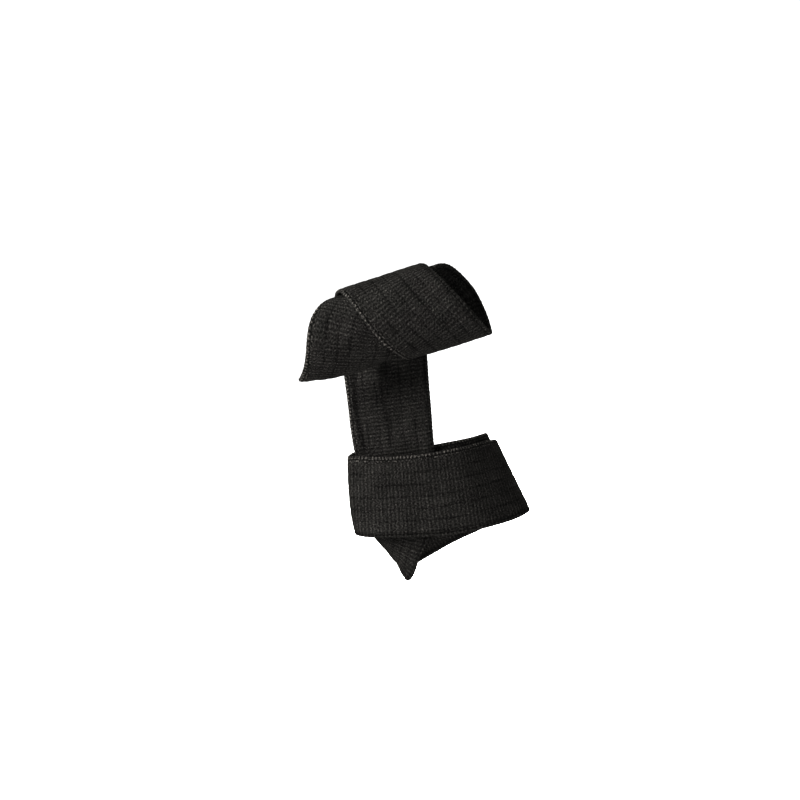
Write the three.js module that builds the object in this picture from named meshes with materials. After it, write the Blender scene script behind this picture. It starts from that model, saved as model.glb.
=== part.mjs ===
// Lifting wrist strap: one strip of ribbed webbing with a sewn end loop, in the form it takes when worn.
// The strip goes round the wrist hollow, up through its own end loop, and on to two turns of a wound roll.
// Millimetres. +Z runs up along the wrist hollow, -Y is the front, +X is the right.
import * as THREE from 'three';

// Webbing
const WIDTH = 40;
const HALF = WIDTH / 2;
const RIB_THICK = 2.2;
const GROOVE_THICK = 1.7;
const EDGE_THICK = 1.5;
const RIBS = 6;
const COLUMNS = 2 * RIBS + 1;
const SKIN = RIB_THICK / 2;
const LAYER_GAP = 0.45;
const LAYER = RIB_THICK + LAYER_GAP;
const CUT_GAP = 0.36;

// Wrist hollow: an ellipse, with the end loop standing off it at the front left
const WRIST_HALF_WIDTH = 31;
const WRIST_HALF_DEPTH = 22;
const FLARE = 9;
const FLARE_FROM_DEG = 262;
const FLARE_FULL_DEG = 190;
const FLARE_INNER = 0.3;
const FLARE_MIDDLE = 0.55;
const MEAN_OFF = 4;

// Where the outer layer steps out over the strip between the layers, and the back steps down off the lap
const OUTER_STEP_FROM_DEG = 322;
const OUTER_STEP_FULL_DEG = 285;
const LAP_STEP_FROM_DEG = 440;
const LAP_STEP_FULL_DEG = 408;

// Where the turn lifts off the wrist hollow, by angle and by height, and where it takes up the flare
const LIFT_FROM_DEG = 525;
const LIFT_FULL_DEG = 556;
const LIFT_LEAST = 0.5;
const LIFT_FROM = -18;
const LIFT_FULL = 4;
const TAKE_UP_FROM = -16;
const TAKE_UP_FULL = 20;

// Gathers where the strip is drawn narrower than its full width, below the end loop
const GATHERS = 3;
const GATHER_RISE = 0.4;
const GATHER_HALF = 14.2;
const GATHER_FROM = 2;
const GATHER_FULL = -10;

// Hollow in the middle of the wound roll
const ROLL_RADIUS = 14.2;
const ROLL_CENTRE = { x: 13.1, y: -37, z: 101.6 };
const ROLL_TILT_DEG = 8.2;

// Rows of facets in each stretch
const ROWS = { loopInner: 26, fold: 9, loopOuter: 30, back: 18, turn: 26, rise: 12, roll: 71 };

// End loop, inner layer: from its sewn end at the back right, across the front, to the fold.
// around: degrees round the wrist hollow (0 right, 90 back, 180 left, 270 front), rise: height of the
// middle, lean: how far the strip's cross line leans, half: half of the width taken up
const LOOP_INNER = [
  { around: 402, rise: 3.5, lean: 0, half: HALF },
  { around: 360, rise: 5.8, lean: -4, half: HALF },
  { around: 315, rise: 10.2, lean: -14, half: HALF },
  { around: 270, rise: 17.4, lean: -18, half: HALF },
  { around: 236, rise: 24.8, lean: -20, half: HALF },
  { around: 210, rise: 29.4, lean: -20.5, half: HALF },
];

// End loop, outer layer: from the fold back across the front and round the right side
const LOOP_OUTER = [
  { around: 210, rise: 29.4, lean: -20.5, half: HALF },
  { around: 236, rise: 22.6, lean: -20, half: 19.2 },
  { around: 270, rise: 14.3, lean: -18.5, half: HALF },
  { around: 315, rise: 6.6, lean: -13, half: HALF },
  { around: 360, rise: 1.8, lean: -3, half: 19.2 },
  { around: 405, rise: 0, lean: 0, half: 19.6 },
];

// Round the back
const BACK = [
  { around: 405, rise: 0, lean: 0, half: 19.6 },
  { around: 435, rise: 0, lean: 0, half: HALF },
  { around: 470, rise: 0, lean: 0, half: HALF },
  { around: 510, rise: -1, lean: 0, half: 18.5 },
  { around: 527, rise: -3.4, lean: 2, half: 17.2 },
];

// Gathered turn at the front left, up into the end loop
const TURN = [
  { around: 527, rise: -3.4, lean: 2, half: 17.2 },
  { around: 540, rise: -5.8, lean: 3, half: 15.3 },
  { around: 553, rise: -7, lean: 10, half: 14 },
  { around: 568.5, rise: -1.6, lean: 40, half: 13.4 },
  { around: 583.5, rise: 7.2, lean: 58, half: 15.8 },
  { around: 599.5, rise: 22, lean: 66, half: 18.7 },
  { around: 610.7, rise: 41, lean: 73, half: 19.5 },
];
const TURN_CUT_ROW = 5;

// Two turns of the wound roll, to the free end.
// around: degrees round the roll (180 behind, 90 over the top, 0 in front, -90 below), along: place on the
// roll's axis, off: distance from the hollow, hang: how much further the right edge hangs off
const ROLL_TURNS = [
  { around: 190, along: -3, off: 2.95, hang: 0 },
  { around: 135, along: -0.2, off: 2.95, hang: 0 },
  { around: 90, along: 3, off: 2.95, hang: 0 },
  { around: 45, along: 6.8, off: 2.95, hang: 0 },
  { around: 0, along: 12.2, off: 3.2, hang: 0 },
  { around: -45, along: 19.6, off: 4.6, hang: 0 },
  { around: -90, along: 24.6, off: 6, hang: 0 },
  { around: -125, along: 25.8, off: 3.4, hang: 0 },
  { around: -150, along: 25, off: 1.2, hang: 0 },
  { around: -172, along: 22.5, off: 0.3, hang: 0 },
  { around: -225, along: 14.5, off: 0.2, hang: 0 },
  { around: -270, along: 4, off: 0.2, hang: 0 },
  { around: -315, along: -8, off: 0.2, hang: 0 },
  { around: -360, along: -17.3, off: 0.2, hang: 0.3 },
  { around: -405, along: -22.6, off: 0.3, hang: 2 },
  { around: -455, along: -29, off: 0.5, hang: 5.8 },
];

const rad = THREE.MathUtils.degToRad;
const deg = THREE.MathUtils.radToDeg;

function ease(from, to, value) {
  const f = THREE.MathUtils.clamp((value - from) / (to - from), 0, 1);
  return f * f * (3 - 2 * f);
}

// Smooth curve through one column of a table, without overshoot
function column(table, key) {
  const y = table.map((row) => row[key]);
  const last = y.length - 1;
  const step = y.slice(1).map((v, i) => v - y[i]);
  const slope = y.map((v, i) => {
    if (i === 0) return step[0];
    if (i === last) return step[last - 1];
    const product = step[i - 1] * step[i];
    return product > 0 ? (2 * product) / (step[i - 1] + step[i]) : 0;
  });
  return (x) => {
    const i = Math.min(last - 1, Math.max(0, Math.floor(x)));
    const t = x - i;
    const s = 1 - t;
    const ends = (1 + 2 * t) * s * s * y[i] + t * t * (3 - 2 * t) * y[i + 1];
    return ends + t * s * s * slope[i] - t * t * s * slope[i + 1];
  };
}

// Places across the strip, from -1 at the lower or right edge to 1 at the upper or left edge
const ACROSS = Array.from({ length: COLUMNS }, (_, j) => -1 + (2 * j) / (COLUMNS - 1));

function thickness(j) {
  if (j === 0 || j === COLUMNS - 1) return EDGE_THICK;
  return j % 2 === 1 ? RIB_THICK : GROOVE_THICK;
}

function flare(around) {
  return FLARE * ease(FLARE_FROM_DEG, FLARE_FULL_DEG, around);
}

function gather(w, half, height) {
  const share = THREE.MathUtils.clamp((HALF - half) / (HALF - GATHER_HALF), 0, 1);
  const wave = (1 - Math.cos(Math.PI * GATHERS * (w + 1))) / 2;
  return GATHER_RISE * share * wave * ease(GATHER_FROM, GATHER_FULL, height);
}

function onWrist({ around, height, off }) {
  const c = Math.cos(rad(around));
  const s = Math.sin(rad(around));
  const out = new THREE.Vector2(c / WRIST_HALF_WIDTH, s / WRIST_HALF_DEPTH).normalize();
  return new THREE.Vector3(
    WRIST_HALF_WIDTH * c + off * out.x,
    WRIST_HALF_DEPTH * s + off * out.y,
    height,
  );
}

// Arc length of the wrist ellipse for one radian of turn
function wristReach(around) {
  const c = Math.cos(rad(around));
  const s = Math.sin(rad(around));
  return Math.hypot(WRIST_HALF_WIDTH * s, WRIST_HALF_DEPTH * c);
}

const tilt = rad(ROLL_TILT_DEG);
const ROLL_AXIS = new THREE.Vector3(Math.cos(tilt), 0, -Math.sin(tilt));
const ROLL_UP = new THREE.Vector3(Math.sin(tilt), 0, Math.cos(tilt));
const ROLL_FRONT = new THREE.Vector3(0, -1, 0);

function onRoll(around, along, off) {
  const reach = ROLL_RADIUS + off;
  return new THREE.Vector3(ROLL_CENTRE.x, ROLL_CENTRE.y, ROLL_CENTRE.z)
    .addScaledVector(ROLL_AXIS, along)
    .addScaledVector(ROLL_FRONT, reach * Math.cos(rad(around)))
    .addScaledVector(ROLL_UP, reach * Math.sin(rad(around)));
}

// Rows of a stretch on the wrist hollow, each a list of {around, height, off}
function wristStretch(table, count, standOff) {
  const around = column(table, 'around');
  const rise = column(table, 'rise');
  const lean = column(table, 'lean');
  const half = column(table, 'half');
  const rows = [];
  for (let i = 0; i < count; i += 1) {
    const x = ((table.length - 1) * i) / (count - 1);
    const middle = around(x);
    const reach = wristReach(middle) + MEAN_OFF;
    const angle = rad(lean(x));
    rows.push(ACROSS.map((w) => {
      const turn = middle - deg((Math.sin(angle) * w * half(x)) / reach);
      const height = rise(x) + Math.cos(angle) * w * half(x);
      const off = SKIN + standOff(turn, height, middle) + gather(w, half(x), height);
      return { around: turn, height, off };
    }));
  }
  return rows;
}

const innerRows = wristStretch(LOOP_INNER, ROWS.loopInner, (around) => FLARE_INNER * flare(around));
const outerRows = wristStretch(LOOP_OUTER, ROWS.loopOuter, (around) => (
  LAYER + LAYER * ease(OUTER_STEP_FROM_DEG, OUTER_STEP_FULL_DEG, around) + flare(around)
));
const backRows = wristStretch(BACK, ROWS.back, (around, height, middle) => (
  LAYER * ease(LAP_STEP_FROM_DEG, LAP_STEP_FULL_DEG, middle)
));
const turnRows = wristStretch(TURN, ROWS.turn, (around, height, middle) => {
  const lift = LAYER * THREE.MathUtils.lerp(LIFT_LEAST, 1, ease(LIFT_FROM, LIFT_FULL, height));
  const out = FLARE_MIDDLE * flare(around - 360) * ease(TAKE_UP_FROM, TAKE_UP_FULL, height);
  return (lift + out) * ease(LIFT_FROM_DEG, LIFT_FULL_DEG, middle);
});

// Rounded fold that joins the two layers of the end loop
const foldRows = [];
const foldFrom = innerRows[innerRows.length - 1];
for (let i = 1; i < ROWS.fold; i += 1) {
  const bend = Math.PI * (i / ROWS.fold - 0.5);
  foldRows.push(foldFrom.map((p, j) => {
    const radius = (outerRows[0][j].off - p.off) / 2;
    const reach = wristReach(p.around) + p.off;
    const around = p.around - deg((radius * Math.cos(bend)) / reach);
    return { around, height: p.height, off: p.off + radius + radius * Math.sin(bend) };
  }));
}

// Turns of the roll, with cross lines square to the route
const rollRows = [];
const rollAround = column(ROLL_TURNS, 'around');
const rollAlong = column(ROLL_TURNS, 'along');
const rollOff = column(ROLL_TURNS, 'off');
const rollHang = column(ROLL_TURNS, 'hang');
const PROBE = 0.01;
for (let i = 0; i < ROWS.roll; i += 1) {
  const x = ((ROLL_TURNS.length - 1) * i) / (ROWS.roll - 1);
  const before = Math.max(0, x - PROBE);
  const after = Math.min(ROLL_TURNS.length - 1, x + PROBE);
  const reach = ROLL_RADIUS + SKIN + rollOff(x);
  const run = rad(rollAround(before) - rollAround(after)) * reach;
  const slant = Math.atan2(rollAlong(after) - rollAlong(before), run);
  rollRows.push(ACROSS.map((w) => {
    const around = rollAround(x) - deg((Math.sin(slant) * w * HALF) / reach);
    const along = rollAlong(x) - Math.cos(slant) * w * HALF;
    return onRoll(around, along, SKIN + rollOff(x) + (rollHang(x) * (1 - w)) / 2);
  }));
}

// Taut run up the front, from the end loop to the back of the roll
const turnPoints = turnRows.map((row) => row.map(onWrist));
const riseRows = [];
for (let i = 1; i < ROWS.rise; i += 1) {
  const t = i / ROWS.rise;
  const s = 1 - t;
  riseRows.push(ACROSS.map((w, j) => {
    const from = turnPoints[turnPoints.length - 1][j];
    const to = rollRows[0][j];
    const reach = from.distanceTo(to);
    const leave = from.clone().sub(turnPoints[turnPoints.length - 2][j]).setLength(reach);
    const arrive = rollRows[1][j].clone().sub(to).setLength(reach);
    return from.clone().multiplyScalar((1 + 2 * t) * s * s)
      .addScaledVector(to, t * t * (3 - 2 * t))
      .addScaledVector(leave, t * s * s)
      .addScaledVector(arrive, -t * t * s);
  }));
}

// The whole strip, one row after another, with the rows where one node ends and the next begins
const wristRows = [...innerRows, ...foldRows, ...outerRows, ...backRows.slice(1)]
  .map((row) => row.map(onWrist));
const strip = [...wristRows, ...turnPoints.slice(1), ...riseRows, ...rollRows];
const cutInLoop = wristRows.length + Math.round(((ROWS.turn - 1) * TURN_CUT_ROW) / (TURN.length - 1)) - 1;
const cutAtRoll = strip.length - rollRows.length;

function normals(rows) {
  return rows.map((row, i) => row.map((p, j) => {
    const next = rows[Math.min(rows.length - 1, i + 1)][j];
    const last = rows[Math.max(0, i - 1)][j];
    const left = row[Math.min(COLUMNS - 1, j + 1)];
    const right = row[Math.max(0, j - 1)];
    const along = next.clone().sub(last);
    return along.cross(left.clone().sub(right)).normalize();
  }));
}
const stripNormals = normals(strip);

// Moves the points of a cut row toward the next row by half the cut
function trim(row, next) {
  row.forEach((p, j) => p.add(next[j].clone().sub(p).setLength(CUT_GAP / 2)));
}

// Closed strip of webbing from one row to another, drawn back at each end that is cut
function webbing(first, last, trimFirst, trimLast) {
  const rows = strip.slice(first, last + 1).map((row) => row.map((p) => p.clone()));
  const facing = stripNormals.slice(first, last + 1);
  const end = rows.length - 1;
  if (trimFirst) trim(rows[0], rows[1]);
  if (trimLast) trim(rows[end], rows[end - 1]);
  const positions = [];
  rows.forEach((row, i) => {
    [1, -1].forEach((side) => row.forEach((p, j) => {
      positions.push(...p.clone().addScaledVector(facing[i][j], (side * thickness(j)) / 2).toArray());
    }));
  });
  const ring = 2 * COLUMNS;
  const edge = COLUMNS - 1;
  const top = (i, j) => i * ring + j;
  const under = (i, j) => i * ring + COLUMNS + j;
  const index = [];
  const quad = (a, b, c, d) => index.push(a, b, c, a, c, d);
  for (let i = 0; i < end; i += 1) {
    for (let j = 0; j < edge; j += 1) {
      quad(top(i, j), top(i + 1, j), top(i + 1, j + 1), top(i, j + 1));
      quad(under(i, j), under(i, j + 1), under(i + 1, j + 1), under(i + 1, j));
    }
    quad(top(i, 0), under(i, 0), under(i + 1, 0), top(i + 1, 0));
    quad(top(i, edge), top(i + 1, edge), under(i + 1, edge), under(i, edge));
  }
  for (let j = 0; j < edge; j += 1) {
    quad(top(0, j), top(0, j + 1), under(0, j + 1), under(0, j));
    quad(top(end, j), under(end, j), under(end, j + 1), top(end, j + 1));
  }
  const geometry = new THREE.BufferGeometry();
  geometry.setAttribute('position', new THREE.Float32BufferAttribute(positions, 3));
  geometry.setIndex(index);
  geometry.computeVertexNormals();
  return geometry;
}

function node(name, geometry) {
  const material = new THREE.MeshStandardMaterial({ color: 0x1d1d1e, roughness: 0.95, metalness: 0 });
  const mesh = new THREE.Mesh(geometry, material);
  mesh.name = name;
  return mesh;
}

const strap = new THREE.Group();
strap.name = 'wrist_strap';
strap.add(node('wrist_loop', webbing(0, cutInLoop, false, true)));
strap.add(node('palm_strap', webbing(cutInLoop, cutAtRoll, true, true)));
strap.add(node('bar_wrap', webbing(cutAtRoll, strip.length - 1, true, false)));

export default strap;
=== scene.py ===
import math

import bpy
import numpy as np
from mathutils import Matrix, Vector


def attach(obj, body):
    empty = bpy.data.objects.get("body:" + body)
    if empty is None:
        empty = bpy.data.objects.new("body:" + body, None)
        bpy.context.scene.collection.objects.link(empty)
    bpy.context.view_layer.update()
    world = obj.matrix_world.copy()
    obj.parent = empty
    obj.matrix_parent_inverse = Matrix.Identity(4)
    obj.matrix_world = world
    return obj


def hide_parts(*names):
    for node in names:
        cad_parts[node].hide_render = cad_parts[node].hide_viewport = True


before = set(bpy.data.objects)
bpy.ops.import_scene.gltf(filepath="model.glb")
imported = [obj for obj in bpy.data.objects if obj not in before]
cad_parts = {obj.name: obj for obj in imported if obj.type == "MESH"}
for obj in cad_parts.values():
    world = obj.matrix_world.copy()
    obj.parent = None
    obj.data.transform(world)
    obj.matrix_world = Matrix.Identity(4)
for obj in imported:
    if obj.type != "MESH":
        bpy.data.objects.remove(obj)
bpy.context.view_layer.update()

# Lengths are in millimetres and angles in degrees unless a comment says otherwise
METRE = 0.001

# Webbing: ribs run along the strip, weft ribs across it
WIDTH = 40.0
HALF = WIDTH / 2
THICKNESS = 2.2
HALF_LAYER = THICKNESS / 2
LAYER_GAP = 0.45
LAYER = THICKNESS + LAYER_GAP
RIBS = 6
RIB_SPAN = 0.88
GROOVES = np.linspace(-RIB_SPAN, RIB_SPAN, RIBS + 1)
LANE = 2 * RIB_SPAN * HALF / RIBS
WEFT_PITCH = 1.8
WARP_PITCH = 1.72
ROWS_PER_WEFT = 5
ROW_STEP = WEFT_PITCH / ROWS_PER_WEFT

# Wrist hollow, and how far the layers stand off it
WRIST_HALF_WIDTH = 31.0
WRIST_HALF_DEPTH = 22.0
FLARE = 9.0
FLARE_FROM = 262.0
FLARE_FULL = 190.0
FLARE_INNER = 0.3
FLARE_MIDDLE = 0.55
MEAN_OFF = 4.0
OUTER_STEP = (322.0, 285.0)
LAP_STEP = (440.0, 408.0)
LIFT_ANGLE = (525.0, 556.0)
LIFT_LEAST = 0.5
LIFT_HEIGHT = (-18.0, 4.0)
TAKE_UP_HEIGHT = (-16.0, 20.0)

# Gathers where the strip is drawn narrower than its full width
GATHERS = 3
GATHER_RISE = 0.4
GATHER_HALF = 14.2
GATHER_HEIGHT = (2.0, -10.0)

# Hollow in the middle of the wound roll
ROLL_RADIUS = 14.2
ROLL_CENTRE = np.array([13.1, -37.0, 101.6])
ROLL_TILT = math.radians(8.2)

# Stretches on the wrist hollow: around, rise, lean, half
LOOP_INNER = [
    (402, 3.5, 0, HALF), (360, 5.8, -4, HALF), (315, 10.2, -14, HALF),
    (270, 17.4, -18, HALF), (236, 24.8, -20, HALF), (210, 29.4, -20.5, HALF),
]
LOOP_OUTER = [
    (210, 29.4, -20.5, HALF), (236, 22.6, -20, 19.2), (270, 14.3, -18.5, HALF),
    (315, 6.6, -13, HALF), (360, 1.8, -3, 19.2), (405, 0, 0, 19.6),
]
BACK = [
    (405, 0, 0, 19.6), (435, 0, 0, HALF), (470, 0, 0, HALF), (510, -1, 0, 18.5), (527, -3.4, 2, 17.2),
]
TURN = [
    (527, -3.4, 2, 17.2), (540, -5.8, 3, 15.3), (553, -7, 10, 14), (568.5, -1.6, 40, 13.4),
    (583.5, 7.2, 58, 15.8), (599.5, 22, 66, 18.7), (610.7, 41, 73, 19.5),
]
TURN_CUT_ROW = 5
FULL_TURN = 360

# Turns of the roll: around, along, off, hang
ROLL_TURNS = [
    (190, -3, 2.95, 0), (135, -0.2, 2.95, 0), (90, 3, 2.95, 0), (45, 6.8, 2.95, 0),
    (0, 12.2, 3.2, 0), (-45, 19.6, 4.6, 0), (-90, 24.6, 6, 0), (-125, 25.8, 3.4, 0),
    (-150, 25, 1.2, 0), (-172, 22.5, 0.3, 0), (-225, 14.5, 0.2, 0), (-270, 4, 0.2, 0),
    (-315, -8, 0.2, 0), (-360, -17.3, 0.2, 0.3), (-405, -22.6, 0.3, 2), (-455, -29, 0.5, 5.8),
]

# Rows worked out in each stretch, and the rows that give its direction at an end
DENSE = dict(inner=520, fold=80, outer=600, back=340, turn=421, rise=320, roll=1400)
END_ROWS = 8


def ease(low, high, value):
    """Smooth share from 0 at low to 1 at high."""
    share = np.clip((value - low) / (high - low), 0, 1)
    return share * share * (3 - 2 * share)


def smooth_between(part, start, end, leave, arrive):
    """Smooth curve from start to end, with its slopes at the two, for parts of the way from 0 to 1."""
    rest = 1 - part
    ends = (1 + 2 * part) * rest * rest * start + part * part * (3 - 2 * part) * end
    return ends + part * rest * rest * leave - part * part * rest * arrive


def column(table, number, rows):
    """Smooth curve through one column of a table, without overshoot."""
    values = np.array([row[number] for row in table], float)
    step = np.diff(values)
    slope = np.zeros(len(values))
    slope[0], slope[-1] = step[0], step[-1]
    for k in range(1, len(values) - 1):
        product = step[k - 1] * step[k]
        slope[k] = 2 * product / (step[k - 1] + step[k]) if product > 0 else 0
    k = np.clip(np.floor(rows).astype(int), 0, len(values) - 2)
    return smooth_between(rows - k, values[k], values[k + 1], slope[k], slope[k + 1])


def flare(around):
    """How far the front left of the end loop stands out."""
    return FLARE * ease(FLARE_FROM, FLARE_FULL, around)


def gather(across, half, height):
    """Small folds where the strip is drawn in."""
    share = np.clip((HALF - half) / (HALF - GATHER_HALF), 0, 1)
    wave = (1 - np.cos(np.pi * GATHERS * (across + 1))) / 2
    return GATHER_RISE * share * wave * ease(*GATHER_HEIGHT, height)


def wrist_reach(around):
    """Length along the wrist hollow for each radian."""
    angle = np.radians(around)
    return np.hypot(WRIST_HALF_WIDTH * np.sin(angle), WRIST_HALF_DEPTH * np.cos(angle))


def on_wrist(around, height, off):
    """Point at an angle, a height and a distance off the wrist hollow."""
    angle = np.radians(around)
    out_x, out_y = np.cos(angle) / WRIST_HALF_WIDTH, np.sin(angle) / WRIST_HALF_DEPTH
    size = np.hypot(out_x, out_y)
    x = WRIST_HALF_WIDTH * np.cos(angle) + off * out_x / size
    y = WRIST_HALF_DEPTH * np.sin(angle) + off * out_y / size
    return np.stack([x, y, height + 0 * angle], -1)


def on_roll(around, along, off):
    """Point at an angle, a place along the axis and a distance off the hollow of the roll."""
    angle = np.radians(around)[..., None]
    axis = np.array([math.cos(ROLL_TILT), 0, -math.sin(ROLL_TILT)])
    up = np.array([math.sin(ROLL_TILT), 0, math.cos(ROLL_TILT)])
    front = np.array([0, -1.0, 0])
    reach = (ROLL_RADIUS + off)[..., None]
    return ROLL_CENTRE + along[..., None] * axis + reach * (np.cos(angle) * front + np.sin(angle) * up)


def wrist_stretch(table, count, across, stand_off):
    """Rows of a stretch on the wrist hollow, as arrays of angle, height and distance."""
    rows = np.linspace(0, len(table) - 1, count)
    middle = column(table, 0, rows)[:, None]
    rise = column(table, 1, rows)[:, None]
    lean = np.radians(column(table, 2, rows))[:, None]
    half = column(table, 3, rows)[:, None]
    around = middle - np.degrees(np.sin(lean) * across * half / (wrist_reach(middle) + MEAN_OFF))
    height = rise + np.cos(lean) * across * half
    off = HALF_LAYER + stand_off(around, height, middle) + gather(across, half, height)
    return around, height, off


def fold_stretch(inner, outer):
    """Rounded fold from the last row of the inner layer to the first row of the outer one."""
    around, height, off = (values[-1] for values in inner)
    bend = (np.pi * (np.linspace(0, 1, DENSE["fold"] + 2)[1:-1] - 0.5))[:, None]
    radius = (outer[2][0] - off) / 2
    turned = around - np.degrees(radius * np.cos(bend) / (wrist_reach(around) + off))
    return turned, height + 0 * turned, off + radius + radius * np.sin(bend)


def roll_stretch(across):
    """Turns of the roll, with cross lines square to the route."""
    rows = np.linspace(0, len(ROLL_TURNS) - 1, DENSE["roll"])
    around, along = column(ROLL_TURNS, 0, rows), column(ROLL_TURNS, 1, rows)
    off, hang = column(ROLL_TURNS, 2, rows), column(ROLL_TURNS, 3, rows)
    reach = ROLL_RADIUS + HALF_LAYER + off
    slant = np.arctan2(np.gradient(along), -np.radians(np.gradient(around)) * reach)
    turned = around[:, None] - np.degrees(np.sin(slant)[:, None] * across * HALF / reach[:, None])
    moved = along[:, None] - np.cos(slant)[:, None] * across * HALF
    return on_roll(turned, moved, HALF_LAYER + off[:, None] + hang[:, None] * (1 - across) / 2)


def rise_stretch(turn, roll):
    """Taut run up the front, from the last row of the turn to the first row of the roll."""
    start, end = turn[-1], roll[0]
    gap = np.linalg.norm(end - start, axis=-1, keepdims=True)
    leave, arrive = start - turn[-1 - END_ROWS], roll[END_ROWS] - end
    leave = leave * gap / np.linalg.norm(leave, axis=-1, keepdims=True)
    arrive = arrive * gap / np.linalg.norm(arrive, axis=-1, keepdims=True)
    part = np.linspace(0, 1, DENSE["rise"])[1:-1, None, None]
    return smooth_between(part, start, end, leave, arrive)


def inner_off(around, height, middle):
    """Distance of the end loop's inner layer off the wrist hollow."""
    return FLARE_INNER * flare(around)


def outer_off(around, height, middle):
    """Distance of the end loop's outer layer, with room for the strip inside the loop."""
    return LAYER + LAYER * ease(*OUTER_STEP, around) + flare(around)


def back_off(around, height, middle):
    """Distance of the back turn, which starts on top of the sewn end."""
    return LAYER * ease(*LAP_STEP, middle) + 0 * around


def turn_off(around, height, middle):
    """Distance of the turn that goes up between the two layers of the end loop."""
    lift = LAYER * (LIFT_LEAST + (1 - LIFT_LEAST) * ease(*LIFT_HEIGHT, height))
    out = FLARE_MIDDLE * flare(around - FULL_TURN) * ease(*TAKE_UP_HEIGHT, height)
    return (lift + out) * ease(*LIFT_ANGLE, middle)


def route(across):
    """Middle surface of the whole strip, as dense rows, and the rows where its stretches end."""
    inner = wrist_stretch(LOOP_INNER, DENSE["inner"], across, inner_off)
    outer = wrist_stretch(LOOP_OUTER, DENSE["outer"], across, outer_off)
    back = wrist_stretch(BACK, DENSE["back"], across, back_off)
    turn = on_wrist(*wrist_stretch(TURN, DENSE["turn"], across, turn_off))
    roll = roll_stretch(across)
    wrist = [on_wrist(*inner), on_wrist(*fold_stretch(inner, outer)), on_wrist(*outer), on_wrist(*back)[1:]]
    rows = np.concatenate(wrist + [turn[1:], rise_stretch(turn, roll), roll])
    head = sum(len(part) for part in wrist)
    ends = dict(
        lap=len(inner[0]) + DENSE["fold"] + len(outer[0]),
        turn=head,
        cut_loop=head + (DENSE["turn"] - 1) * TURN_CUT_ROW // (len(TURN) - 1) - 1,
        rise=head + DENSE["turn"] - 1,
        cut_roll=len(rows) - len(roll),
    )
    return rows, ends


# Places across the strip, from -1 to 1: steps beside each groove in millimetres, and near the edges
GROOVE_STEPS = (-1.35, -0.55, 0, 0.55, 1.35)
EDGE_PLACES = (-1, -0.985, 0.985, 1)
PLACE_DIGITS = 5


def across_places():
    """Places across the strip: close together in the grooves and at the edges."""
    crowns = (GROOVES[1:] + GROOVES[:-1]) / 2
    inside = (GROOVES[:, None] + np.array(GROOVE_STEPS) / HALF).ravel()
    return np.unique(np.concatenate([inside, crowns, EDGE_PLACES]).round(PLACE_DIGITS))


ACROSS = across_places()
dense, row_of = route(ACROSS)
centre = dense[:, np.argmin(np.abs(ACROSS))]
run = np.concatenate([[0], np.cumsum(np.linalg.norm(np.diff(centre, axis=0), axis=1))])
LENGTH = float(run[-1])
place = {name: float(run[row]) for name, row in row_of.items()}

# Distance to either side over which the direction along the strip is measured
DIRECTION_SPAN = 0.5


def surface(along):
    """Middle surface, normals and side directions at distances along the strip."""
    wide = np.clip(np.stack([along - DIRECTION_SPAN, along, along + DIRECTION_SPAN]), 0, LENGTH)
    k = np.clip(np.searchsorted(run, wide, side="right") - 1, 0, len(run) - 2)
    part = ((wide - run[k]) / (run[k + 1] - run[k]))[..., None, None]
    before, grid, after = dense[k] * (1 - part) + dense[k + 1] * part
    side = np.gradient(grid, ACROSS, axis=1)
    side /= np.linalg.norm(side, axis=-1, keepdims=True)
    normal = np.cross(after - before, side)
    normal /= np.linalg.norm(normal, axis=-1, keepdims=True)
    return grid, normal, side


# Waves over the strip: height, radians for each millimetre along, radians across, phase
SLOW_RIPPLE = (0.10, 0.21, 1.3, 0.4)
SLOW_CHANGE = (1.0, 0.05, 2.1, math.pi / 2)
QUICK_RIPPLE = (0.05, 0.63, -2.2, 1.1)
CUT_WAVES = [(0.5, 0, 7.3, 0.6), (0.25, 0, 17.0, 0)]
WEFT_BENDS = [(0.22, 0.37, 3.1, 0), (0.12, -0.9, 11.0, 0)]
WEFT_HEIGHTS = [(0.12, 2.3, 17.0, 0), (0.08, -1.7, 29.0, 0)]
EDGE_SWAY = (0.09, 0.23, 2.0, 0)

# Creases up the front, which dent the strip and also darken its colour as painted shade: depth, place
# across, half width, sway across, radians of sway for each millimetre
CREASES = [(1.0, 0.76, 1.05, 0.03, 0.1), (0.8, 0.10, 0.85, 0.02, 0.13)]
CREASE_EARLY = 2.0
CREASE_LATE = 10.0
CREASE_FADE = 10.0

# Drawn-in turn and cut end: lengths over which they begin and end
DRAWN_START = 15.0
DRAWN_END = 30.0
# Painted shade: how much darker the drawn-in turn is coloured where it gathers
DRAWN_SHADE = 0.12
CUT_REACH = 5.0

# Heights of the weave, as half thicknesses and rises over them
GROOVE_HALF = 0.87
GROOVE_WIDTH = 0.8
RIB_RISE = 0.10
WEFT_RISE = 0.12
WEFT_LEVEL = 0.80
WEFT_SECOND = 0.16
EDGE_HALF = 0.42
EDGE_WIDTH = 0.45
EDGE_POWER = 12
BEAD_RISE = 0.26
BEAD_REACH = 0.14


def swell(wave, along, across):
    """Height of one wave over the strip."""
    height, along_turn, across_turn, phase = wave
    return height * np.sin(along_turn * along + across_turn * across + phase)


def ripple(along, across):
    """Slight unevenness of a worn strip, along its normal."""
    slow = swell(SLOW_RIPPLE, along, across) * swell(SLOW_CHANGE, along, across)
    return slow + swell(QUICK_RIPPLE, along, across)


def creases(along, across):
    """Depth of the lengthwise creases of the taut run up the front, for the dent and for painted shade in
    the colour.
    """
    low, high = place["rise"] - CREASE_EARLY, place["cut_roll"] + CREASE_LATE
    window = ease(low, low + CREASE_FADE, along) * ease(high, high - CREASE_FADE, along)
    depth = 0
    for deep, middle, half, sway, turn in CREASES:
        beside = (across - middle - sway * np.sin(along * turn)) * HALF
        depth = depth + deep * np.exp(-(beside / half) ** 2)
    return window * depth


def drawn_in(along):
    """Share of the painted shade on the drawn-in, gathered turn, from 0 to 1."""
    start, end = place["turn"], place["cut_loop"]
    return ease(start, start + DRAWN_START, along) * ease(end, end - DRAWN_END, along)


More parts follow.
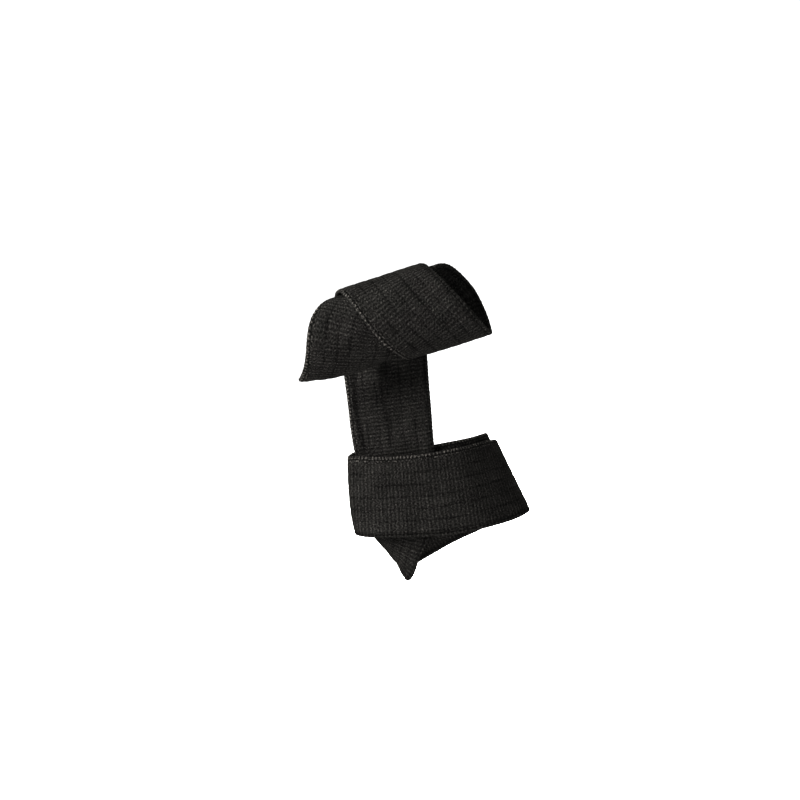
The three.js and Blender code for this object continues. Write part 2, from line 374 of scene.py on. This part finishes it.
def cut_wave(along, across):
    """Unevenness of the cut at the free end, along the strip."""
    return ease(LENGTH - CUT_REACH, LENGTH, along) * sum(swell(wave, along, across) for wave in CUT_WAVES)


def weft_wave(along, across):
    """Weft ribs across the strip, uneven and with every second one a little higher, from 0 to 1."""
    bent = along + sum(swell(wave, along, across) for wave in WEFT_BENDS)
    single = (1 + np.cos(2 * np.pi * bent / WEFT_PITCH)) / 2
    uneven = WEFT_LEVEL + sum(swell(wave, along, across) for wave in WEFT_HEIGHTS)
    second = 1 - WEFT_SECOND + WEFT_SECOND * np.cos(np.pi * along / WEFT_PITCH)
    return single * uneven * second


def half_thickness(along, across):
    """Rounded ribs along the strip with narrow grooves, weft ribs across it, and beaded edges."""
    groove = np.min(np.abs(across[..., None] - GROOVES), axis=-1) * HALF
    rib = 1 - np.exp(-(groove / GROOVE_WIDTH) ** 2)
    weft = weft_wave(along, across)
    edge = np.exp(-((1 - np.abs(across)) * HALF / EDGE_WIDTH) ** 2)
    half = GROOVE_HALF + RIB_RISE * rib + WEFT_RISE * weft * (1 + rib) / 2
    return half * (1 - edge) + edge * (EDGE_HALF + BEAD_RISE * weft)


def tube_walls(rows, sides):
    """Quads round the outside of a row of rings, each ring of so many corners."""
    ring, corner = np.meshgrid(np.arange(rows - 1) * sides, np.arange(sides), indexing="ij")
    after = (corner + 1) % sides
    quads = [ring + corner, ring + sides + corner, ring + sides + after, ring + after]
    return np.stack(quads, -1).reshape(-1, 4)


def mesh_object(name, verts, faces, smooth, uv, material):
    """Mesh object from arrays, with verts in millimetres, quads as faces and uv by vertex."""
    mesh = bpy.data.meshes.new(name)
    mesh.vertices.add(len(verts))
    mesh.vertices.foreach_set("co", (verts * METRE).ravel())
    mesh.loops.add(faces.size)
    mesh.loops.foreach_set("vertex_index", faces.ravel().astype(np.int32))
    mesh.polygons.add(len(faces))
    mesh.polygons.foreach_set("loop_start", np.arange(0, faces.size, 4, dtype=np.int32))
    mesh.polygons.foreach_set("use_smooth", smooth)
    layer = mesh.uv_layers.new(name="UVMap")
    layer.data.foreach_set("uv", uv[faces.ravel()].ravel().astype(np.float32))
    mesh.update(calc_edges=True)
    mesh.materials.append(material)
    obj = bpy.data.objects.new(name, mesh)
    bpy.context.scene.collection.objects.link(obj)
    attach(obj, "root")
    return obj


def webbing(name, low, high, node, material):
    """Closed, detailed strip from one distance to another, in place of a CAD node."""
    distances = np.linspace(low, high, int(round((high - low) / ROW_STEP)) + 1)
    grid, normal, side = surface(distances)
    along, across = distances[:, None], ACROSS[None, :]
    crease_depth_and_shade = creases(along, across)
    middle = grid + normal * (ripple(along, across) - crease_depth_and_shade)[..., None]
    fray = swell(EDGE_SWAY, along, np.sign(across)) + np.sign(across) * BEAD_REACH * weft_wave(along, across)
    middle = middle + side * (fray * np.abs(across) ** EDGE_POWER)[..., None]
    middle = middle + np.cross(side, normal) * cut_wave(along, across)[..., None]
    half = half_thickness(along, across)[..., None]
    ring = np.concatenate([middle + normal * half, (middle - normal * half)[:, ::-1]], axis=1)
    rows, sides = ring.shape[:2]
    walls = tube_walls(rows, sides)
    corner = np.arange(sides // 2 - 1)
    first = np.stack([corner, corner + 1, sides - 2 - corner, sides - 1 - corner], -1)
    faces = np.concatenate([walls, first, (rows - 1) * sides + first[:, ::-1]])
    smooth = np.arange(len(faces)) < len(walls)
    round_trip = np.concatenate([ACROSS, ACROSS[::-1]]) * HALF
    uv = np.stack(np.broadcast_arrays(along, round_trip[None, :]), -1).reshape(-1, 2)
    obj = mesh_object(name, ring.reshape(-1, 3), faces, smooth, uv, material)
    # Painted shade: the crease depth and the drawn-in turn darken the colour through this attribute
    dark = obj.data.attributes.new("crease_depth_and_shade", "FLOAT", "POINT")
    shade = crease_depth_and_shade + DRAWN_SHADE * drawn_in(along)
    dark.data.foreach_set("value", np.concatenate([shade, shade[:, ::-1]], axis=1).ravel())
    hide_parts(node)


# Stitching of the sewn lap: the box is placed from the sewn end, and its sides by places across
STITCH_LENGTH = 3.0
STITCH_GAP = 1.0
STITCH_RADIUS = 0.3
STITCH_TAPER = 0.35
STITCH_SINK = 0.1
STITCH_DIP = 0.6
STITCH_DIP_POWER = 4
STITCH_RINGS = 7
STITCH_SIDES = 6
STITCH_CAP = np.array([[0, 1, 2, 3], [3, 4, 5, 0]])
OTHER_WAY_ROUND = [0, 3, 2, 1]
LAP_NEAR = 3.5
LAP_FAR = 20.0
LAP_EDGE = 0.80
INSIDE_STEP = 1.0


def stitch_lines(near, far):
    """Box with a cross, as pairs of ends in distance along and place across."""
    left, right = -LAP_EDGE, LAP_EDGE
    corners = [(near, left), (near, right), (far, right), (far, left)]
    lines = list(zip(corners, corners[1:] + corners[:1]))
    return lines + [(corners[0], corners[2]), (corners[1], corners[3])]


def stitch_centres(lines):
    """Centre, and half step to either end, of each stitch along the lines."""
    found = []
    for start, end in lines:
        first = np.array(start, float)
        way = np.array(end, float) - first
        span = np.hypot(way[0], way[1] * HALF)
        count = max(1, int(span / (STITCH_LENGTH + STITCH_GAP)))
        half = way * STITCH_LENGTH / span / 2
        found += [(first + way * (k + 0.5) / count, half) for k in range(count)]
    return found


def stitch_rings(middle, half, spread, angle):
    """Rings of one thread, which lies on the webbing and dips into it at both ends."""
    along = middle[0] + half[0] * spread
    across = middle[1] + half[1] * spread
    grid, normal, side = surface(along)
    rows = np.arange(STITCH_RINGS)
    pick = [int(np.argmin(np.abs(ACROSS - value))) for value in across]
    shift = ((across - ACROSS[pick]) * HALF)[:, None]
    out = normal[rows, pick]
    height = HALF_LAYER - STITCH_SINK - STITCH_DIP * spread[:, None] ** STITCH_DIP_POWER
    line = grid[rows, pick] + side[rows, pick] * shift + out * height
    beside = np.cross(np.gradient(line, axis=0), out)
    beside /= np.linalg.norm(beside, axis=-1, keepdims=True)
    radius = STITCH_RADIUS * (1 - STITCH_TAPER * spread ** 2)[:, None, None]
    turned = np.cos(angle)[None, :, None] * beside[:, None] + np.sin(angle)[None, :, None] * out[:, None]
    return (line[:, None] + radius * turned).reshape(-1, 3)


def stitching(name, lines, material):
    """Short raised threads along the lines, as one piece."""
    spread = np.linspace(-1, 1, STITCH_RINGS)
    angle = np.linspace(0, 2 * np.pi, STITCH_SIDES, endpoint=False)
    walls = tube_walls(STITCH_RINGS, STITCH_SIDES)[:, OTHER_WAY_ROUND]
    last = (STITCH_RINGS - 1) * STITCH_SIDES
    one = np.concatenate([walls, STITCH_CAP[:, ::-1], last + STITCH_CAP])
    verts = [stitch_rings(middle, half, spread, angle) for middle, half in stitch_centres(lines)]
    faces = np.concatenate([one + k * STITCH_RINGS * STITCH_SIDES for k in range(len(verts))])
    one_uv = np.stack(np.meshgrid(spread * STITCH_LENGTH / 2, angle, indexing="ij"), -1).reshape(-1, 2)
    uv = np.tile(one_uv, (len(verts), 1))
    mesh_object(name, np.concatenate(verts), faces, np.ones(len(faces), bool), uv, material)


class Nodes:
    """Short way to wire the nodes of one material."""

    def __init__(self, name):
        self.material = bpy.data.materials.new(name)
        self.material.use_nodes = True
        self.tree = self.material.node_tree
        self.shader = self.tree.nodes["Principled BSDF"]

    def set(self, **values):
        """Uniform values on the shader's own sockets, with _ for a space in a socket's name."""
        for name, value in values.items():
            self.shader.inputs[name.replace("_", " ")].default_value = value

    def link(self, value, socket):
        if isinstance(value, (int, float)):
            socket.default_value = value
        else:
            self.tree.links.new(value, socket)

    def flat(self):
        """Place on the flat strip in millimetres: the vector, and its parts along and across."""
        uv = self.tree.nodes.new("ShaderNodeUVMap")
        uv.uv_map = "UVMap"
        split = self.tree.nodes.new("ShaderNodeSeparateXYZ")
        self.tree.links.new(uv.outputs["UV"], split.inputs[0])
        return uv.outputs["UV"], split.outputs[0], split.outputs[1]

    def attribute(self, name):
        node = self.tree.nodes.new("ShaderNodeAttribute")
        node.attribute_name = name
        return node.outputs["Fac"]

    def math(self, operation, first, second=0.0):
        node = self.tree.nodes.new("ShaderNodeMath")
        node.operation = operation
        self.link(first, node.inputs[0])
        self.link(second, node.inputs[1])
        return node.outputs[0]

    def times(self, first, second):
        return self.math("MULTIPLY", first, second)

    def minus(self, first, second):
        return self.math("SUBTRACT", first, second)

    def size(self, value):
        return self.math("ABSOLUTE", value)

    def wave(self, value, pitch):
        return self.math("COSINE", self.times(value, 2 * math.pi / pitch))

    def noise(self, vector, scale, detail, roughness):
        """Noise about zero."""
        node = self.tree.nodes.new("ShaderNodeTexNoise")
        node.inputs["Scale"].default_value = scale
        node.inputs["Detail"].default_value = detail
        node.inputs["Roughness"].default_value = roughness
        self.tree.links.new(vector, node.inputs["Vector"])
        return self.minus(node.outputs["Fac"], 0.5)

    def vector(self, x, y):
        node = self.tree.nodes.new("ShaderNodeCombineXYZ")
        self.link(x, node.inputs[0])
        self.link(y, node.inputs[1])
        return node.outputs[0]

    def clamp(self, value):
        return self.math("MAXIMUM", self.math("MINIMUM", value, 1.0), 0.0)

    def weigh(self, start, *terms):
        """Start plus each value times its share."""
        total = start
        for value, share in terms:
            total = self.math("ADD", self.times(value, share), total)
        return total

    def stripe(self, value, middle, half_width, peak):
        """Soft stripe about a middle value, cut off at 1 where its peak is higher."""
        return self.clamp(self.weigh(peak, (self.size(self.minus(value, middle)), -1 / half_width)))

    def ramp(self, value, stops):
        node = self.tree.nodes.new("ShaderNodeValToRGB")
        elements = node.color_ramp.elements
        while len(elements) < len(stops):
            elements.new(0.5)
        for element, (position, colour) in zip(elements, stops):
            element.position = position
            element.color = (*colour, 1)
        self.tree.links.new(value, node.inputs["Fac"])
        self.tree.links.new(node.outputs["Color"], self.shader.inputs["Base Color"])

    def bump(self, height, strength, distance):
        node = self.tree.nodes.new("ShaderNodeBump")
        node.inputs["Strength"].default_value = strength
        node.inputs["Distance"].default_value = distance
        self.tree.links.new(height, node.inputs["Height"])
        self.tree.links.new(node.outputs["Normal"], self.shader.inputs["Normal"])


# Noise over the flat strip: scale for each millimetre, detail, roughness
DRIFT_NOISE = (0.35, 2, 0.5)
UNEVEN_NOISE = (0.6, 2, 0.6)
SPOT_NOISE = (0.22, 2, 0.5)
FIBRE_NOISE = (1.2, 3, 0.7)
BROKEN_NOISE = (0.45, 3, 0.6)
PATCH_NOISE = (0.10, 3, 0.5)
LINT_NOISE = (0.9, 2, 0.5)
TWIST_NOISE = (3.0, 3, 0.6)

# Weave in the material: how far noise bends the threads, and how each effect starts and grows
WEFT_DRIFT = 1.6
WARP_DRIFT = 2.2
STROKE_SECOND = 0.25
STROKE_UNEVEN = 4.0
SPOT_START = 0.5
SPOT_GROWTH = 5.0
LINT_START = -2.0
LINT_GROWTH = 11.0
BROKEN_STRETCH = 0.22
# Grooves between the ribs, which darken the colour as painted shade
GROOVE_START = 0.7
GROOVE_SLOPE = -6.5
GROOVE_BREAKS = 3.6

# Edge of the webbing, by distance from it: middle, half width and peak of each stripe
# Painted shadow: a dark line between the rows of dots along each edge
PAINTED_EDGE_SHADOW_STRIPE = (1.5, 0.6, 1.0)
OUTER_DOTS = (0.6, 0.6, 1.6)
INNER_DOTS = (2.2, 0.5, 1.4)
OUTER_LEVEL = 0.24
OUTER_WEFT = 0.25
INNER_LEVEL = 0.22
INNER_WEFT = -0.30
INNER_SHARE = 1.15
DOT_FIBRE = 2.4
LOWER_EDGE = 0.08

# Share of each effect in the tone, from 0, black, to 1, pale, and in the bump. In the tone, the grooves, the
# line between the edge dots and the creases darken as painted shade
TONE_START = 0.42
TONE = dict(
    strokes=0.09, knots=0.07, fibre=1.5, patch=0.32, groove=-0.17, painted_edge_shadow=-0.24, dots=0.52, lint=0.09,
    crease_depth_and_shade=-0.29)
BUMP = dict(strokes=0.15, knots=0.8, fibre=1.6, groove=-0.2)
BUMP_STRENGTH = 0.7
BUMP_DISTANCE = 0.25 * METRE
WEBBING_COLOURS = [
    (0.0, (0.0017, 0.0017, 0.0016)),
    (0.35, (0.0088, 0.0085, 0.0080)),
    (0.7, (0.0250, 0.0241, 0.0226)),
    (1.0, (0.0640, 0.0603, 0.0550)),
]

# Thread: pitch and slant of its twist, shares of its tone and bump
TWIST_PITCH = 0.55
TWIST_SLANT = 0.09
TWIST_TONE = 0.3
TWIST_SPECKLE = 0.6
TWIST_BUMP = 0.5
TWIST_DEPTH = 0.1 * METRE
THREAD_TONE_START = 0.5
THREAD_COLOURS = [(0.0, (0.006, 0.006, 0.006)), (1.0, (0.045, 0.043, 0.041))]


def webbing_material():
    """Black cotton webbing: weft strokes, fibres, lint and paler dots along the upper edge, with painted
    shade in the grooves, in the creases and in a line between the rows of dots.
    """
    nodes = Nodes("black_webbing")
    nodes.set(Roughness=0.95, Specular_IOR_Level=0.0)
    nodes.set(Sheen_Weight=0.0015, Sheen_Roughness=0.5, Sheen_Tint=(0.75, 0.70, 0.64, 1))
    flat, along, across = nodes.flat()

    # Threads of the weave
    drift = nodes.noise(flat, *DRIFT_NOISE)
    bent = nodes.weigh(along, (drift, WEFT_DRIFT))
    weft = nodes.wave(bent, WEFT_PITCH)
    second = nodes.wave(bent, 2 * WEFT_PITCH)
    warp = nodes.wave(nodes.weigh(across, (drift, WARP_DRIFT)), WARP_PITCH)
    uneven = nodes.noise(flat, *UNEVEN_NOISE)
    strokes = nodes.times(weft, nodes.weigh(1.0, (second, STROKE_SECOND), (uneven, STROKE_UNEVEN)))
    spots = nodes.clamp(nodes.weigh(SPOT_START, (nodes.noise(flat, *SPOT_NOISE), SPOT_GROWTH)))
    knots = nodes.times(nodes.times(weft, warp), spots)
    fibre = nodes.noise(flat, *FIBRE_NOISE)
    patch = nodes.noise(flat, *PATCH_NOISE)
    lint = nodes.clamp(nodes.weigh(LINT_START, (nodes.noise(flat, *LINT_NOISE), LINT_GROWTH)))

    # Grooves between the ribs, broken here and there: painted shade in the colour, and a dip in the bump
    broken = nodes.noise(nodes.vector(nodes.times(along, BROKEN_STRETCH), across), *BROKEN_NOISE)
    lane = nodes.math("DIVIDE", nodes.math("ADD", across, RIB_SPAN * HALF), LANE)
    beside = nodes.size(nodes.minus(lane, nodes.math("ROUND", lane)))
    groove = nodes.clamp(nodes.weigh(GROOVE_START, (beside, GROOVE_SLOPE), (broken, GROOVE_BREAKS)))

    # Edges: a dark line of painted shadow at the place between the two rows of dots, a little in from each
    # edge, and two offset rows of dots along the upper one
    inset = nodes.minus(HALF, nodes.size(across))
    painted_edge_shadow = nodes.stripe(inset, *PAINTED_EDGE_SHADOW_STRIPE)
    outer_loops = nodes.weigh(OUTER_LEVEL, (weft, OUTER_WEFT), (fibre, DOT_FIBRE))
    inner_loops = nodes.weigh(INNER_LEVEL, (weft, INNER_WEFT), (fibre, DOT_FIBRE))
    outer_row = nodes.times(nodes.stripe(inset, *OUTER_DOTS), outer_loops)
    inner_row = nodes.times(nodes.stripe(inset, *INNER_DOTS), inner_loops)
    upper = nodes.clamp(nodes.weigh(LOWER_EDGE, (across, 1.0)))
    dots = nodes.times(upper, nodes.weigh(outer_row, (inner_row, INNER_SHARE)))

    # The crease attribute darkens the colour as painted shade in the creases and on the drawn-in turn
    effects = dict(
        strokes=strokes, knots=knots, fibre=fibre, patch=patch, groove=groove, painted_edge_shadow=painted_edge_shadow, dots=dots,
        lint=lint, crease_depth_and_shade=nodes.attribute("crease_depth_and_shade"))
    tone = nodes.weigh(TONE_START, *[(effects[name], share) for name, share in TONE.items()])
    nodes.ramp(tone, WEBBING_COLOURS)
    height = nodes.weigh(0.0, *[(effects[name], share) for name, share in BUMP.items()])
    nodes.bump(height, BUMP_STRENGTH, BUMP_DISTANCE)
    return nodes.material


def thread_material():
    """Black sewing thread with a fine twist."""
    nodes = Nodes("black_thread")
    nodes.set(Roughness=0.8, Specular_IOR_Level=0.1)
    flat, along, around = nodes.flat()
    twist = nodes.wave(nodes.weigh(along, (around, TWIST_SLANT)), TWIST_PITCH)
    speckle = nodes.noise(flat, *TWIST_NOISE)
    tone = nodes.weigh(THREAD_TONE_START, (twist, TWIST_TONE), (speckle, TWIST_SPECKLE))
    nodes.ramp(tone, THREAD_COLOURS)
    nodes.bump(twist, TWIST_BUMP, TWIST_DEPTH)
    return nodes.material


black = webbing_material()
webbing("webbing_wrist", 0.0, place["cut_loop"], "wrist_loop", black)
webbing("webbing_palm", place["cut_loop"], place["cut_roll"], "palm_strap", black)
webbing("webbing_bar", place["cut_roll"], LENGTH, "bar_wrap", black)

thread = thread_material()
lap = place["lap"]
stitching("stitching_outside", stitch_lines(lap - LAP_FAR, lap - LAP_NEAR), thread)
stitching("stitching_inside", stitch_lines(LAP_NEAR - INSIDE_STEP, LAP_FAR - INSIDE_STEP), thread)

# Pale floor, in metres
FLOOR_HEIGHT = -0.16
FLOOR_RADIUS = 6.0
FLOOR_SIDES = 96
FLOOR_COLOUR = (0.9, 0.9, 0.9, 1)
FLOOR_ROUGHNESS = 0.95


def pale_floor():
    """Wide round floor that runs out into the white surround."""
    turns = [2 * math.pi * k / FLOOR_SIDES for k in range(FLOOR_SIDES)]
    verts = [(FLOOR_RADIUS * math.cos(turn), FLOOR_RADIUS * math.sin(turn), FLOOR_HEIGHT) for turn in turns]
    mesh = bpy.data.meshes.new("floor")
    mesh.from_pydata(verts, [], [tuple(range(FLOOR_SIDES))])
    nodes = Nodes("pale_floor")
    nodes.set(Base_Color=FLOOR_COLOUR, Roughness=FLOOR_ROUGHNESS)
    mesh.materials.append(nodes.material)
    obj = bpy.data.objects.new("floor", mesh)
    bpy.context.scene.collection.objects.link(obj)


# Camera at the photograph's angle, with places in pixels of the 800 by 800 image
IMAGE = 800
PIXEL = 0.487
ORIGIN_PIXEL = (448.7, 510.0)
CAMERA_DISTANCE = 1100.0
CAMERA_ELEVATION = math.radians(11.0)
CAMERA_ROLL = math.radians(26.0)
SENSOR_WIDTH = 36.0


def photo_camera():
    """Camera that aims at the middle of the image, so it needs no shift."""
    back = Vector((0, -math.cos(CAMERA_ELEVATION), math.sin(CAMERA_ELEVATION)))
    right = Vector((1, 0, 0))
    up = Vector((0, math.sin(CAMERA_ELEVATION), math.cos(CAMERA_ELEVATION)))
    turned_right = right * math.cos(CAMERA_ROLL) - up * math.sin(CAMERA_ROLL)
    turned_up = right * math.sin(CAMERA_ROLL) + up * math.cos(CAMERA_ROLL)
    aim = turned_right * (IMAGE / 2 - ORIGIN_PIXEL[0]) + turned_up * (ORIGIN_PIXEL[1] - IMAGE / 2)
    aim = aim * PIXEL - back * CAMERA_DISTANCE
    z_axis = -aim.normalized()
    y_axis = z_axis.cross(turned_right).normalized()
    x_axis = y_axis.cross(z_axis)
    data = bpy.data.cameras.new("camera")
    data.sensor_width = SENSOR_WIDTH
    data.lens = data.sensor_width * aim.length / (IMAGE * PIXEL)
    camera = bpy.data.objects.new("camera", data)
    axes = Matrix((x_axis, y_axis, z_axis)).transposed()
    camera.matrix_world = Matrix.Translation(back * CAMERA_DISTANCE * METRE) @ axes.to_4x4()
    bpy.context.scene.collection.objects.link(camera)
    bpy.context.scene.camera = camera


# Soft lights: name, place, diameter in metres, power in watts
LIGHTS = [
    ("key", (-560, -560, 800), 0.45, 68),
    ("fill", (700, -800, 100), 0.9, 0.35),
    ("top", (-100, 150, 900), 0.7, 12),
    ("back", (350, 800, 450), 0.7, 34),
]
LIGHTS_AIM = Vector((0, 0, 50)) * METRE
WORLD_COLOUR = (1, 1, 1, 1)
WORLD_STRENGTH = 1.14
VIEW_GAMMA = 0.65


def soft_lights():
    """Area lights aimed at the strap."""
    for name, spot, diameter, power in LIGHTS:
        data = bpy.data.lights.new(name, "AREA")
        data.shape = "DISK"
        data.size = diameter
        data.energy = power
        obj = bpy.data.objects.new(name, data)
        obj.location = Vector(spot) * METRE
        obj.rotation_euler = (LIGHTS_AIM - obj.location).to_track_quat("-Z", "Y").to_euler()
        obj.visible_camera = False
        bpy.context.scene.collection.objects.link(obj)


def white_surround():
    """White world, and a plain view with the photograph's firm contrast."""
    world = bpy.data.worlds.new("world")
    world.use_nodes = True
    background = world.node_tree.nodes["Background"]
    background.inputs["Color"].default_value = WORLD_COLOUR
    background.inputs["Strength"].default_value = WORLD_STRENGTH
    bpy.context.scene.world = world
    bpy.context.scene.view_settings.view_transform = "Standard"
    bpy.context.scene.view_settings.gamma = VIEW_GAMMA


pale_floor()
photo_camera()
soft_lights()
white_surround()
